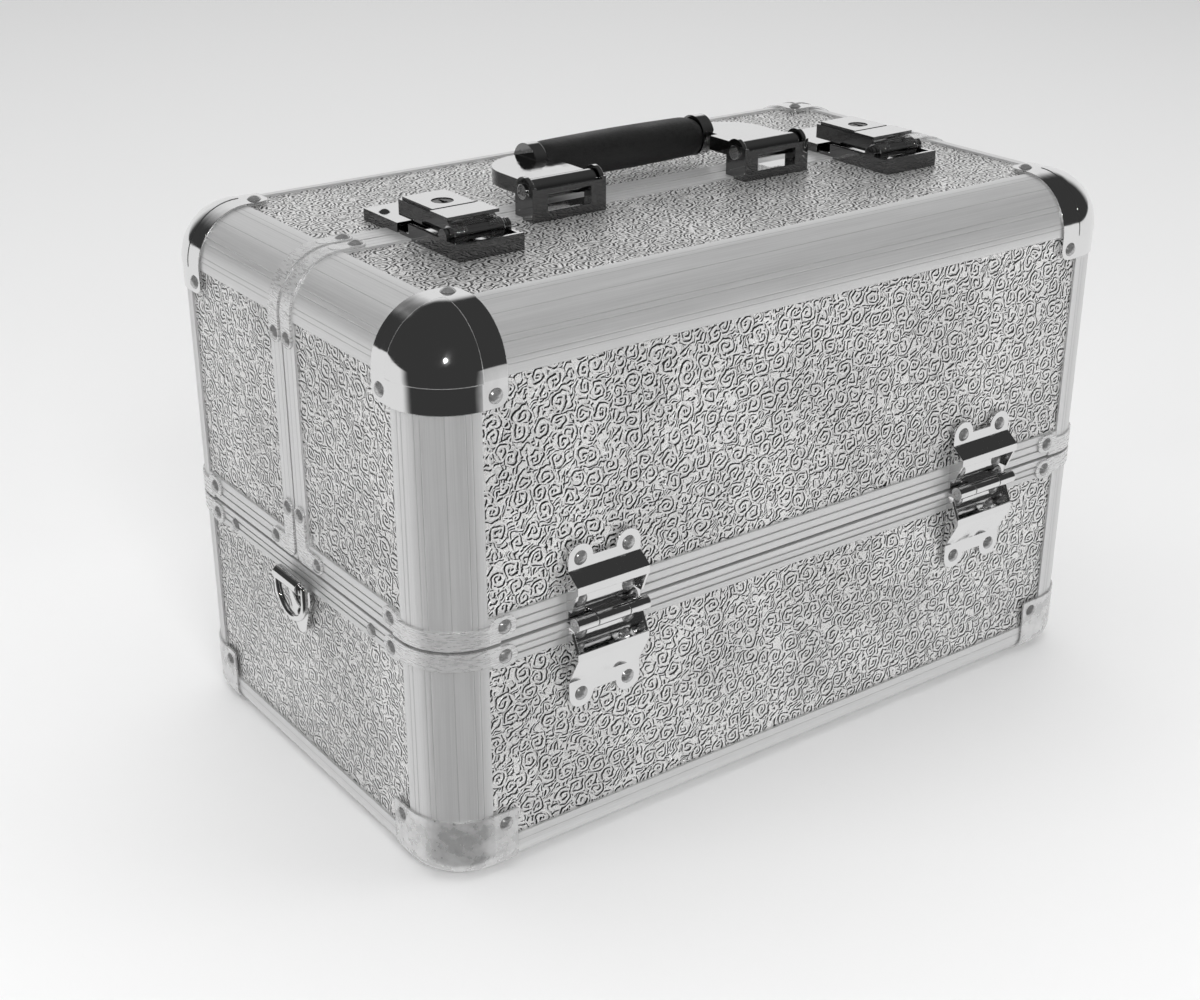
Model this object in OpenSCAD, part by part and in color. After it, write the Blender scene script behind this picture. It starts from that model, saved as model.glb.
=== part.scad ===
// Aluminium train case: a base with two lids that open outward from a centre seam,
// carrying four trays on cantilever arms. Millimetres, +Z up, X along the long side.
// The origin is on the floor under the centre of the case.

/* [Case] */
// Length over the end rails
case_w = 365; // [340:1:400]
// Depth over the front and rear rails
case_d = 215; // [205:1:230]
// Height over the top rails
case_h = 235; // [231:1:250]
// Height of the parting plane between base and lids
part_z = 104; // [100:1:106]
// Outer radius of the corner posts and top rails
edge_r = 24; // [20:1:26]

/* [Rails and panels] */
// Height of the lid rim rails
lid_rim_h = 11; // [8:0.5:12]
// Height of the base rim rails
base_rim_h = 9; // [8:0.5:11]
// Width of each seam rail
seam_rail_w = 9.5; // [8:0.5:11]
// Height of the bottom rails
bottom_rail_h = 15; // [12:1:18]
// Thickness of the boards
panel_t = 4; // [3:0.5:4]

/* [Hinges] */
// Distance of the stop hinges from the centre
hinge_x = 105; // [90:1:115]
// Width of a stop hinge
hinge_w = 35; // [30:1:40]

/* [Handle and latches] */
// Distance of the handle brackets from the centre
bracket_x = 56.5; // [50:0.5:62]
// Distance of the latches from the centre
latch_x = 113; // [105:1:120]

/* [Trays] */
// Height of a tray
tray_h = 43; // [30:1:43]
// Distance between pivots along an arm
arm_pitch = 54; // [50:1:56]

/* [Hidden] */
$fn = 48;

half_w = case_w / 2;
half_d = case_d / 2;
// Half lengths of the straight stretches between the corner posts
flat_x = half_w - edge_r;
flat_y = half_d - edge_r;
// Depth of a board below the face of the rails, and the rails' own thickness
recess = 1;
rail_t = 5;
// The parting groove and half of the seam gap
part_gap = 0.7;
seam_gap = 0.5;
base_top = part_z - part_gap;
base_rim_low = base_top - base_rim_h;
lid_bottom = part_z + part_gap;
lid_wall_z = lid_bottom + lid_rim_h;
lid_wall_top = case_h - edge_r;
seam_y = -seam_gap - seam_rail_w;
// The underside of the bottom rails, which the corner caps hold off the floor
rail_z = 1.5;
rail_bend = 8;
bend_t = 1.7;
flange_t = 1.7;
bottom_flange = 18;
// The underside of the floor board
floor_z = rail_z + flange_t;
// Pressed steel: its thickness, and how far it stands proud of the rails
plate_t = 0.9;
cap_reach = 35;
cap_tab_r = 5;
bottom_cap_h = 28;
cap_foot = 8;
// The ball of a top corner swells a little over its skirts and laps onto them
ball_rise = 0.2;
// The skirts' clearance over the rails
skirt_fit = 0.08;
ball_lap = 0.6;
// Rivets
rivet_d = 6.2;
rivet_h = 1.6;
rivet_in = 29.5;
bottom_rivet_z = 22.5;
top_rivet_z = case_h - 30.2;
// The brackets at the parting plane: their tabs' rivets and width
tab_in = 31;
tab_w = 9;
base_tab_z = base_top - 5.2;
lid_tab_z = lid_bottom + 6.2;
rim_rivet_y = -60;
// The straps of the centre seam: width, rivets, and the plate at its foot
seam_strap_w = 8;
seam_rivet_y = -5.2;
seam_head_in = 32;
seam_head_z = 203;
seam_plate_z = 127;
seam_foot = [-18, lid_tab_z - 1.5];
// Lining
lining_in = 5.5;
lining_t = 1.5;
lining_face = lining_in + lining_t;
// Stop hinges: the pin stands this far out from the rails
pin_out = 5.5;
pin_y = -half_d - pin_out;
pin_r = 1.5;
knuckle_r = 3;
knuckle_gap = 0.4;
centre_knuckle = 15;
leaf_t = 1.3;
hinge_reach = 7.6;
// How far out the cheeks reach beside the knuckles
cheek_out = 3.4;
lug_r = 6;
hinge_rivet_x = 11.5;
// Heights of a base leaf's and a lid leaf's rivets; the second of each holds the lugs
base_leaf_rivets = [98, 70];
lid_leaf_rivets = [112, 130];
// Strap rings on the ends
ring_wire_r = 1.5;
ring_r = 12;
ring_out = 4.6;
ring_z = 97;
ring_drop = 5;
// A strap loop's plate: a rolled barrel at the top, a tapering tongue and one rivet
ring_barrel_r = 3.2;
ring_plate_t = 1.2;
ring_plate_half = 10;
ring_shoulder_z = 89;
ring_rivet_z = 80;
ring_tip_z = 77;
ring_tip_r = 5.5;
// Handle
pivot_y = -11;
pivot_z = case_h + 11;
bracket_w = 37;
bracket_t = 2;
handle_pin_r = 2;
handle_knuckle_r = 4.6;
grip_y = 26;
grip_half = 45;
grip_core_r = 4;
fan_t = 6.4;
fan_back = 6;
fan_turn_r = 22;
ferrule_r = 9.2;
ferrule_l = 4;
// Latches
latch_t = 1.6;
latch_w = 30;
latch_front = -46;
latch_rear = 28;
strike_top = case_h + 4;
hasp_w = 22;
hasp_pivot_y = -34;
hasp_pivot_z = case_h + 6.5;
hasp_front = hasp_pivot_y + 3;
hasp_rear = 6;
hasp_top = case_h + 12;
hasp_pin_r = 1.5;
hasp_barrel_r = 3.1;
// The raised pads on the hasp's top, the rear one around the key plug
pad_t = 1.2;
pad_split = -20;
pad_gap = 1.2;
plug_y = -10;
plug_r = 4.5;
// Radial play of a turning fit
running = 0.05;
// Trays and arms
tray_half = 164;
tray_outer = -93.2;
tray_corner_r = 5;
tray_inner = -4;
tray_z = 122;
tray_t = 2.5;
arm_lean = 30;
arm_rise = arm_pitch * cos(arm_lean);
arm_run = arm_pitch * sin(arm_lean);
arm_x = tray_half + 2;
arm_t = 2;
arm_w = 9;
arm_z = 95;
inner_arm_y = -66;
outer_arm_y = -88;
arm_pin_r = 2;
// The outer arms' tray pivots are the open joints of the linkage
loose = 0.6;

aluminium = "silver";
chrome = "gainsboro";
foil = "lightgray";
black = "dimgray";

// ---------- helpers ----------

module both_x() {
    children();
    mirror([1, 0, 0]) children();
}

module both_y() {
    children();
    mirror([0, 1, 0]) children();
}

module rear() mirror([0, 1, 0]) children();

// A box given by its two opposite corners
module block(a, b) translate(a) cube(b - a);

// A profile drawn as (y, z), drawn out along X between two places
module along_x(x0, x1) translate([x0, 0, 0]) rotate([90, 0, 90]) linear_extrude(x1 - x0) children();

// A profile drawn as (x, z), drawn out along Y between two places
module along_y(y0, y1) translate([0, y1, 0]) rotate([90, 0, 0]) linear_extrude(y1 - y0) children();

// A quarter of a ring, on the side of negative x and negative y
module quarter_ring(r, t) {
    intersection() {
        difference() {
            circle(r);
            circle(r - t);
        }
        translate([-r - 1, -r - 1]) square(r + 1);
    }
}

// The same quarter on the side of negative x and positive y
module upper_quarter(r, t) mirror([0, 1]) quarter_ring(r, t);

// An eighth of a spherical shell at the front left top corner, drawn out by lap past its
// three cut faces
module corner_octant(r, t, lap = 0) {
    intersection() {
        difference() {
            sphere(r);
            sphere(r - t);
        }
        block([-r - 1, -r - 1, -lap], [lap, lap, r + 1]);
    }
}

// A strip of width w between two points in the plane, with round ends
module bar_2d(a, b, w) {
    run = b - a;
    translate(a) rotate(atan2(run[1], run[0])) {
        translate([0, -w / 2]) square([norm(run), w]);
        circle(w / 2);
        translate([norm(run), 0]) circle(w / 2);
    }
}

// A rivet head on a face that looks along +Z
module rivet_head(d = rivet_d, h = rivet_h) {
    ball = (h * h + d * d / 4) / (2 * h);
    intersection() {
        translate([0, 0, h - ball]) sphere(ball, $fn = 24);
        cylinder(d = d, h = h + 1, $fn = 24);
    }
}

// Rivets on the front face at [x, z], on the left end at [y, z], and on the top at [x, y]
module front_rivet(p, out = plate_t) {
    translate([p[0], -half_d - out, p[1]]) rotate([90, 0, 0]) rivet_head();
}

module left_rivet(p, out = plate_t) {
    translate([-half_w - out, p[0], p[1]]) rotate([0, -90, 0]) rivet_head();
}

module top_rivet(p, out = plate_t) translate([p[0], p[1], case_h + out]) rivet_head();

// A face plate drawn in 2D as (x, z), standing from depth d0 to d1 outside the front face
module on_front(d0, d1) {
    translate([0, -half_d - d0, 0]) rotate([90, 0, 0]) linear_extrude(d1 - d0) children();
}

// A face plate drawn in 2D as (y, z), standing from d0 to d1 outside the left end
module on_left(d0, d1) {
    translate([-half_w - d1, 0, 0]) rotate([90, 0, 90]) linear_extrude(d1 - d0) children();
}

// ---------- base ----------

// The bottom rail's section as (outward from its face, z): a wall, a round bend and a flange
module bottom_section() {
    translate([0, rail_z + rail_bend]) square([rail_t, bottom_rail_h - rail_bend - rail_z]);
    translate([rail_bend, rail_z]) square([bottom_flange - rail_bend, flange_t]);
    intersection() {
        translate([rail_bend, rail_z + rail_bend]) difference() {
            circle(rail_bend);
            circle(rail_bend - bend_t);
        }
        translate([0, rail_z]) square([rail_bend, rail_bend]);
    }
}

// A floor on the rails' flanges, with its corners left out for the posts
module base_bottom_panel() {
    edge = rail_bend + 0.1;
    color(foil) {
        block([-flat_x, -half_d + edge, floor_z], [flat_x, half_d - edge, floor_z + panel_t]);
        block([-half_w + edge, -flat_y, floor_z], [half_w - edge, flat_y, floor_z + panel_t]);
    }
}

module base_long_panels() {
    color(foil) both_y() block([-flat_x, -half_d + recess, bottom_rail_h],
        [flat_x, -half_d + recess + panel_t, base_rim_low]);
}

module base_end_panels() {
    color(foil) both_x() block([-half_w + recess, -flat_y, bottom_rail_h],
        [-half_w + recess + panel_t, flat_y, base_rim_low]);
}

module base_bottom_rails() {
    color(aluminium) {
        both_y() along_x(-flat_x, flat_x) translate([-half_d, 0]) bottom_section();
        both_x() rotate([0, 0, -90]) along_x(-flat_y, flat_y)
            translate([-half_w, 0]) bottom_section();
    }
}

// The section of a rim rail from z0 to z1 with two shallow grooves in its face
module rim_section(z0, z1) {
    step = (z1 - z0) / 3;
    difference() {
        translate([0, z0]) square([rail_t, z1 - z0]);
        for (k = [1, 2]) translate([-0.1, z0 + k * step - 0.3]) square([0.6, 0.6]);
    }
}

module base_rim_rails() {
    color(aluminium) {
        both_y() along_x(-flat_x, flat_x) translate([-half_d, 0]) rim_section(base_rim_low, base_top);
        both_x() rotate([0, 0, -90]) along_x(-flat_y, flat_y)
            translate([-half_w, 0]) rim_section(base_rim_low, base_top);
    }
}

module corner_post(z0, z1) {
    translate([-flat_x, -flat_y, z0]) linear_extrude(z1 - z0) quarter_ring(edge_r, rail_t);
}

module base_corner_posts() {
    color(aluminium) both_x() both_y() corner_post(rail_z + rail_bend, base_top);
}

// A round-cornered cup under each corner, with a tab along each side
module bottom_cap() {
    reach = cap_reach - edge_r;
    translate([-flat_x, -flat_y, 0]) rotate([0, 0, 180]) rotate_extrude(angle = 90)
        translate([edge_r, 0]) mirror([1, 0]) cap_section();
    along_x(-flat_x, -flat_x + reach) translate([-half_d, 0]) cap_section();
    rotate([0, 0, -90]) along_x(flat_y - reach, flat_y) translate([-half_w, 0]) cap_section();
}

// The cup's section over the bottom rail: a wall, a bend and a foot
module cap_section() {
    translate([-plate_t, rail_z + rail_bend]) square([plate_t, bottom_cap_h - rail_z - rail_bend]);
    translate([rail_bend, 0]) square([cap_foot, rail_z]);
    intersection() {
        translate([rail_bend, rail_z + rail_bend]) difference() {
            circle(rail_bend + plate_t);
            circle(rail_bend);
        }
        translate([-plate_t, rail_z - plate_t]) square(rail_bend + plate_t);
    }
}

module base_bottom_caps() {
    color("darkgray") both_x() both_y() bottom_cap();
}

// A strip around a post with a riveted tab on each face, between z0 and z1
module rim_bracket(z0, z1, tab_z) {
    translate([-flat_x, -flat_y, z0]) linear_extrude(z1 - z0) quarter_ring(edge_r + plate_t, plate_t);
    on_front(0, plate_t) bracket_tab(-flat_x, z0, z1, tab_z);
    on_left(0, plate_t) bracket_tab(-flat_y, z0, z1, tab_z);
}

// The tab on one face, from the end of the post at place
module bracket_tab(place, z0, z1, tab_z) {
    tip = cap_reach - edge_r - 3;
    bar_2d([place + tab_w / 2, tab_z], [place + tip, tab_z], tab_w);
    translate([place, z0]) square([tab_w / 2 + 0.5, z1 - z0]);
}

module base_rim_brackets() {
    color(chrome) both_x() both_y() rim_bracket(base_top - 7.5, base_top, base_tab_z);
}

module base_lining() {
    z0 = floor_z + panel_t + 0.2;
    z1 = base_top - 2;
    color(black) {
        block([-flat_x, -flat_y, z0], [flat_x, flat_y, z0 + lining_t]);
        both_y() {
            block([-flat_x, -half_d + lining_in, z0], [flat_x, -half_d + lining_face, z1]);
            block([-flat_x, -half_d + lining_face, z0], [flat_x, -flat_y, z0 + lining_t]);
        }
        both_x() {
            block([-half_w + lining_in, -flat_y, z0], [-half_w + lining_face, flat_y, z1]);
            block([-half_w + lining_face, -flat_y, z0], [-flat_x, flat_y, z0 + lining_t]);
        }
        both_x() both_y() translate([-flat_x, -flat_y, z0]) {
            linear_extrude(z1 - z0) quarter_ring(edge_r - lining_in, lining_t);
            linear_extrude(lining_t) quarter_ring(edge_r - lining_in, edge_r - lining_in);
        }
    }
}

module base_rivets() {
    color(chrome) both_x() both_y() {
        front_rivet([-half_w + rivet_in, bottom_rivet_z]);
        left_rivet([-half_d + rivet_in, bottom_rivet_z]);
        front_rivet([-half_w + tab_in, base_tab_z]);
        left_rivet([-half_d + tab_in, base_tab_z]);
        left_rivet([rim_rivet_y, base_tab_z], 0);
    }
    color(chrome) both_y() hinge_rivets(base_leaf_rivets);
}

// ---------- strap rings ----------

module d_ring_plate() {
    half = ring_plate_half;
    seat_z = ring_z - ring_barrel_r / 2;
    color(chrome) {
        difference() {
            union() {
                translate([-half_w - ring_out, half, ring_z]) rotate([90, 0, 0])
                    cylinder(r = ring_barrel_r, h = 2 * half);
                block([-half_w - ring_out, -half, ring_z - 3], [-half_w - 0.1, half, seat_z]);
            }
            translate([-half_w - ring_out, half + 1, ring_z]) rotate([90, 0, 0])
                cylinder(r = ring_wire_r + 2 * running, h = 2 * half + 2);
        }
        on_left(0, ring_plate_t) {
            polygon([[-half, seat_z], [half, seat_z], [half, ring_shoulder_z],
                [ring_tip_r, ring_tip_z], [-ring_tip_r, ring_tip_z], [-half, ring_shoulder_z]]);
            translate([0, ring_tip_z]) circle(ring_tip_r);
        }
        on_left(-recess, 0.2) {
            translate([-ring_tip_r, ring_tip_z]) square([2 * ring_tip_r, base_rim_low - 0.1 - ring_tip_z]);
            translate([0, ring_tip_z]) circle(ring_tip_r);
        }
        translate([-half_w - ring_plate_t, 0, ring_rivet_z]) rotate([0, -90, 0]) rivet_head(5.4, 1.2);
    }
}

module d_ring_plates() both_x() d_ring_plate();

// A round bar through the barrel, legs, and a half ring hanging below
module d_ring() {
    color(chrome) translate([-half_w - ring_out, 0, ring_z]) {
        rotate([90, 0, 0]) translate([0, 0, -ring_r]) cylinder(r = ring_wire_r, h = 2 * ring_r);
        both_y() translate([0, ring_r, -ring_drop]) cylinder(r = ring_wire_r, h = ring_drop);
        both_y() translate([0, ring_r, 0]) sphere(ring_wire_r);
        translate([0, 0, -ring_drop]) rotate([0, 90, 0]) rotate([0, 0, -90]) rotate_extrude(angle = 180)
            translate([ring_r, 0]) circle(ring_wire_r);
    }
}

module left_d_ring() d_ring();
module right_d_ring() mirror([1, 0, 0]) d_ring();

// ---------- stop hinges, drawn on the front face about x = 0 ----------

module hinge_barrel(x0, x1) {
    translate([x0, pin_y, part_z]) rotate([0, 90, 0]) cylinder(r = knuckle_r, h = x1 - x0);
}

module hinge_bore() {
    translate([-hinge_w, pin_y, part_z]) rotate([0, 90, 0])
        cylinder(r = pin_r + running, h = 2 * hinge_w);
}

// A section drawn as (outward, z) and drawn out between x0 and x1
module leaf_section(points, x0, x1) {
    along_x(x0, x1) polygon([for (p = points) [-half_d - p[0], p[1]]]);
}

// The two cheeks of a leaf
module leaf_cheeks(points) {
    leaf_section(points, -hinge_w / 2, leaf_t - hinge_w / 2);
    leaf_section(points, hinge_w / 2 - leaf_t, hinge_w / 2);
}

// A plate with rivet lugs: two round ears at the far edge
module lug_plate(z0, z1, lug_z) {
    on_front(0, leaf_t) {
        translate([-hinge_w / 2, z0]) square([hinge_w, z1 - z0]);
        for (s = [-1, 1]) translate([s * hinge_rivet_x, lug_z]) circle(lug_r);
    }
}

// The leaf on the lid: a plate, a step out to a ridge, cheeks and the centre knuckle
module upper_leaf() {
    step_top = 126;
    ridge_top = 121;
    ridge_low = 117.5;
    clear = part_z + 4.6;
    difference() {
        union() {
            lug_plate(lid_bottom + 0.1, lid_leaf_rivets[1], lid_leaf_rivets[1]);
            leaf_section([[leaf_t / 2, step_top], [hinge_reach, ridge_top], [hinge_reach, ridge_low],
                [hinge_reach - leaf_t, ridge_low], [hinge_reach - leaf_t, ridge_top - 1],
                [leaf_t / 2, step_top - 2]], -hinge_w / 2, hinge_w / 2);
            leaf_cheeks([[leaf_t / 2, step_top - 1], [hinge_reach - 0.5, ridge_top - 0.5],
                [hinge_reach - 0.5, ridge_low], [cheek_out, clear], [leaf_t / 2, clear]]);
            hinge_barrel(-centre_knuckle / 2, centre_knuckle / 2);
            block([-centre_knuckle / 2, pin_y, part_z + 1.1],
                [centre_knuckle / 2, -half_d - 0.4, part_z + 2.5]);
        }
        hinge_bore();
    }
}

// The leaf on the base: the same, with a long slope down to its far lugs
module lower_leaf() {
    step_top = 93.5;
    ridge_top = 91.8;
    ridge_low = 88.5;
    slope_end = 77;
    clear = part_z - 4.6;
    side = centre_knuckle / 2 + knuckle_gap;
    difference() {
        union() {
            lug_plate(base_leaf_rivets[1], base_top - 0.1, base_leaf_rivets[1]);
            leaf_section([[leaf_t / 2, step_top], [hinge_reach, ridge_top], [hinge_reach, ridge_low],
                [leaf_t / 2, slope_end - 2], [leaf_t / 2, slope_end],
                [hinge_reach - leaf_t, ridge_low + 0.8], [hinge_reach - leaf_t, ridge_top - 1],
                [leaf_t / 2, step_top - 2]], -hinge_w / 2, hinge_w / 2);
            leaf_cheeks([[leaf_t / 2, clear], [cheek_out, clear], [hinge_reach - 0.5, ridge_top],
                [hinge_reach - 0.5, ridge_low], [leaf_t / 2, slope_end]]);
            both_x() hinge_barrel(-hinge_w / 2, -side);
            both_x() block([-hinge_w / 2, pin_y, part_z - 2.5], [-side, -half_d - 0.4, part_z - 1.1]);
        }
        hinge_bore();
    }
}

// Rivets of the hinge leaves, at the given heights
module hinge_rivets(heights) {
    at_hinges() for (z = heights, s = [-1, 1]) front_rivet([s * hinge_rivet_x, z], leaf_t);
}

module at_hinges() both_x() translate([hinge_x, 0, 0]) children();

module hinge_lower_leaves() {
    color(chrome) both_y() at_hinges() lower_leaf();
}

module hinge_pins() {
    color(chrome) both_y() at_hinges() translate([-hinge_w / 2, pin_y, part_z]) rotate([0, 90, 0])
        cylinder(r = pin_r, h = hinge_w);
}

module hinge_upper_leaves() {
    color(chrome) at_hinges() upper_leaf();
}

// ---------- lids, drawn as the front lid ----------

module lid_wall_panel() {
    color(foil) block([-flat_x, -half_d + recess, lid_wall_z],
        [flat_x, -half_d + recess + panel_t, lid_wall_top]);
}

module lid_end_panels() {
    color(foil) both_x() block([-half_w + recess, -flat_y, lid_wall_z],
        [-half_w + recess + panel_t, seam_y, lid_wall_top]);
}

module lid_top_panel() {
    color(foil) block([-flat_x, -flat_y, case_h - recess - panel_t],
        [flat_x, seam_y, case_h - recess]);
}

module lid_top_rail() {
    color(aluminium) along_x(-flat_x, flat_x) translate([-flat_y, lid_wall_top])
        upper_quarter(edge_r, rail_t);
}

module lid_end_rails() {
    color(aluminium) both_x() along_y(-flat_y, seam_y) translate([-flat_x, lid_wall_top])
        upper_quarter(edge_r, rail_t);
}

module lid_posts() color(aluminium) both_x() corner_post(lid_bottom, lid_wall_top);

// A pressed corner: an eighth of a ball, a skirt over each rail and a riveted tab on each face
module corner_cap() {
    reach = cap_reach - edge_r;
    r = edge_r + plate_t;
    translate([-flat_x, -flat_y, lid_wall_top]) {
        corner_octant(r + ball_rise, plate_t, ball_lap);
        translate([0, 0, -reach]) linear_extrude(reach) quarter_ring(r, plate_t - skirt_fit);
        along_x(0, reach) upper_quarter(r, plate_t - skirt_fit);
        along_y(0, reach) upper_quarter(r, plate_t - skirt_fit);
    }
    for (face = [0 : 2]) cap_tab(face, reach, cap_tab_r);
}

// The tab on the front (0), on the end (1) or on the top (2)
module cap_tab(face, reach, r) {
    if (face == 0) on_front(-recess, plate_t) translate([-flat_x, lid_wall_top]) tab_2d(reach, -1, r);
    if (face == 1) on_left(-recess, plate_t) translate([-flat_y, lid_wall_top]) tab_2d(reach, -1, r);
    if (face == 2) translate([-flat_x, -flat_y, case_h - recess]) linear_extrude(recess + plate_t)
        tab_2d(reach, 1, r);
}

// A square with its far corner rounded
module tab_2d(size, up, r) {
    mirror([0, up > 0 ? 0 : 1]) {
        square([size, size - r]);
        square([size - r, size]);
        translate([size - r, size - r]) circle(r);
    }
}

module lid_corner_caps() color(chrome) both_x() corner_cap();

module lid_rim_rails() {
    color(aluminium) {
        along_x(-flat_x, flat_x) translate([-half_d, 0]) rim_section(lid_bottom, lid_wall_z);
        both_x() intersection() {
            rotate([0, 0, -90]) along_x(-flat_y, flat_y) translate([-half_w, 0])
                rim_section(lid_bottom, lid_wall_z);
            block([-half_w - 1, -flat_y, lid_bottom - 1], [0, -seam_gap, lid_wall_z + 1]);
        }
    }
}

module lid_seam_rails() {
    color(aluminium) {
        block([-flat_x, seam_y, case_h - rail_t], [flat_x, -seam_gap, case_h]);
        both_x() {
            block([-half_w, seam_y, lid_wall_z], [-half_w + rail_t, -seam_gap, lid_wall_top]);
            along_y(seam_y, -seam_gap) translate([-flat_x, lid_wall_top]) upper_quarter(edge_r, rail_t);
        }
    }
}

module lid_brackets() {
    color(chrome) both_x() {
        rim_bracket(lid_bottom, lid_bottom + 8, lid_tab_z);
        // Foot of the seam: an angle plate on the rim rail and the seam rail
        on_left(0, plate_t) {
            bar_2d([seam_rivet_y, seam_foot[1]], seam_foot, seam_strap_w);
            bar_2d([seam_rivet_y, lid_tab_z], [seam_rivet_y, seam_plate_z], seam_strap_w);
        }
        // Head of the seam: a strip bent over the end rail
        along_y(seam_rivet_y - seam_strap_w / 2, seam_rivet_y + seam_strap_w / 2)
            translate([-flat_x, lid_wall_top]) upper_quarter(edge_r + plate_t, plate_t);
        on_left(0, plate_t) bar_2d([seam_rivet_y, lid_wall_top - 0.5], [seam_rivet_y, seam_head_z],
            seam_strap_w);
        translate([0, 0, case_h]) linear_extrude(plate_t)
            bar_2d([-flat_x + 0.5, seam_rivet_y], [-half_w + seam_head_in, seam_rivet_y], seam_strap_w);
    }
}

module lid_rivets() {
    color(chrome) both_x() {
        front_rivet([-half_w + tab_in, lid_tab_z]);
        left_rivet([-half_d + tab_in, lid_tab_z]);
        front_rivet([-half_w + rivet_in, top_rivet_z]);
        left_rivet([-half_d + rivet_in, top_rivet_z]);
        top_rivet([-half_w + rivet_in, -half_d + rivet_in]);
        left_rivet(seam_foot);
        left_rivet([seam_rivet_y, seam_plate_z]);
        left_rivet([seam_rivet_y, seam_head_z]);
        top_rivet([-half_w + seam_head_in, seam_rivet_y]);
    }
    color(chrome) hinge_rivets(lid_leaf_rivets);
}

module lid_lining() {
    z0 = lid_bottom + 2;
    inner_r = edge_r - lining_in;
    y1 = -seam_gap - 1.5;
    color(black) {
        block([-flat_x, -half_d + lining_in, z0], [flat_x, -half_d + lining_face, lid_wall_top]);
        block([-flat_x, -flat_y, case_h - lining_face], [flat_x, y1, case_h - lining_in]);
        along_x(-flat_x, flat_x) translate([-flat_y, lid_wall_top]) upper_quarter(inner_r, lining_t);
        both_x() {
            block([-half_w + lining_in, -flat_y, z0], [-half_w + lining_face, y1, lid_wall_top]);
            along_y(-flat_y, y1) translate([-flat_x, lid_wall_top]) upper_quarter(inner_r, lining_t);
            translate([-flat_x, -flat_y, z0]) linear_extrude(lid_wall_top - z0)
                quarter_ring(inner_r, lining_t);
            translate([-flat_x, -flat_y, lid_wall_top]) corner_octant(inner_r, lining_t);
        }
    }
}

module front_lid_wall_panel() lid_wall_panel();
module front_lid_end_panels() lid_end_panels();
module front_lid_top_panel() lid_top_panel();
module front_lid_top_rail() lid_top_rail();
module front_lid_end_rails() lid_end_rails();
module front_lid_posts() lid_posts();
module front_lid_corner_caps() lid_corner_caps();
module front_lid_rim_rails() lid_rim_rails();
module front_lid_seam_rails() lid_seam_rails();
module front_lid_brackets() lid_brackets();
module front_lid_lining() lid_lining();
module front_lid_rivets() lid_rivets();
module front_hinge_leaves() hinge_upper_leaves();
module rear_lid_wall_panel() rear() lid_wall_panel();
module rear_lid_end_panels() rear() lid_end_panels();
module rear_lid_top_panel() rear() lid_top_panel();
module rear_lid_top_rail() rear() lid_top_rail();
module rear_lid_end_rails() rear() lid_end_rails();
module rear_lid_posts() rear() lid_posts();
module rear_lid_corner_caps() rear() lid_corner_caps();
module rear_lid_rim_rails() rear() lid_rim_rails();
module rear_lid_seam_rails() rear() lid_seam_rails();
module rear_lid_brackets() rear() lid_brackets();
module rear_lid_lining() rear() lid_lining();
module rear_lid_rivets() rear() lid_rivets();
module rear_hinge_leaves() rear() hinge_upper_leaves();

// ---------- handle ----------

// A clevis on the front lid: a foot, two ears for the pin and a front plate with a window
module handle_bracket() {
    half = bracket_w / 2;
    front = -18;
    back = -5;
    plate_h = 12.5;
    window = [22, 7.5];
    window_z = case_h + 3;
    foot_y = seam_y - 0.5;
    difference() {
        union() {
            block([-half, front, case_h - recess], [half, foot_y, case_h + bracket_t]);
            block([-half, foot_y, case_h], [half, back, case_h + bracket_t]);
            for (x0 = [-half, half - bracket_t]) along_x(x0, x0 + bracket_t)
                bracket_ear(front, back, plate_h);
            block([-half, front, case_h], [half, front + bracket_t, case_h + plate_h]);
        }
        translate([-half - 1, pivot_y, pivot_z]) rotate([0, 90, 0])
            cylinder(r = handle_pin_r, h = bracket_w + 2);
        block([-window[0] / 2, front - 1, window_z],
            [window[0] / 2, front + bracket_t + 1, window_z + window[1]]);
    }
}

// An ear drawn as (y, z), round about the pin
module bracket_ear(front, back, plate_h) {
    ear_r = 6;
    translate([front, case_h + 1]) square([back - front, pivot_z - case_h - 1]);
    translate([front, case_h + 1]) square([ear_r, plate_h]);
    translate([pivot_y, pivot_z]) circle(ear_r);
}

module at_brackets() both_x() translate([-bracket_x, 0, 0]) children();

module handle_brackets() color(chrome) at_brackets() handle_bracket();

module handle_pins() {
    head_r = handle_pin_r + 1.2;
    head_t = 0.8;
    color(chrome) at_brackets() translate([-bracket_w / 2 - head_t, pivot_y, pivot_z])
        rotate([0, 90, 0]) {
            cylinder(r = handle_pin_r, h = bracket_w + 2 * head_t);
            cylinder(r = head_r, h = head_t);
            translate([0, 0, bracket_w + head_t]) cylinder(r = head_r, h = head_t);
        }
}

// One end of the handle seen from above, between x0 and x1: a plate that turns into the grip
module fan_2d(x0, x1) {
    turn_y = grip_y + fan_back - fan_turn_r;
    translate([x0, pivot_y]) square([x1 - x0, turn_y - pivot_y]);
    intersection() {
        translate([x0 + fan_turn_r, turn_y]) circle(fan_turn_r);
        translate([x0, turn_y]) square(fan_turn_r);
    }
    translate([x0 + fan_turn_r, turn_y]) square([-grip_half - x0 - fan_turn_r, fan_turn_r]);
}

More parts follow.
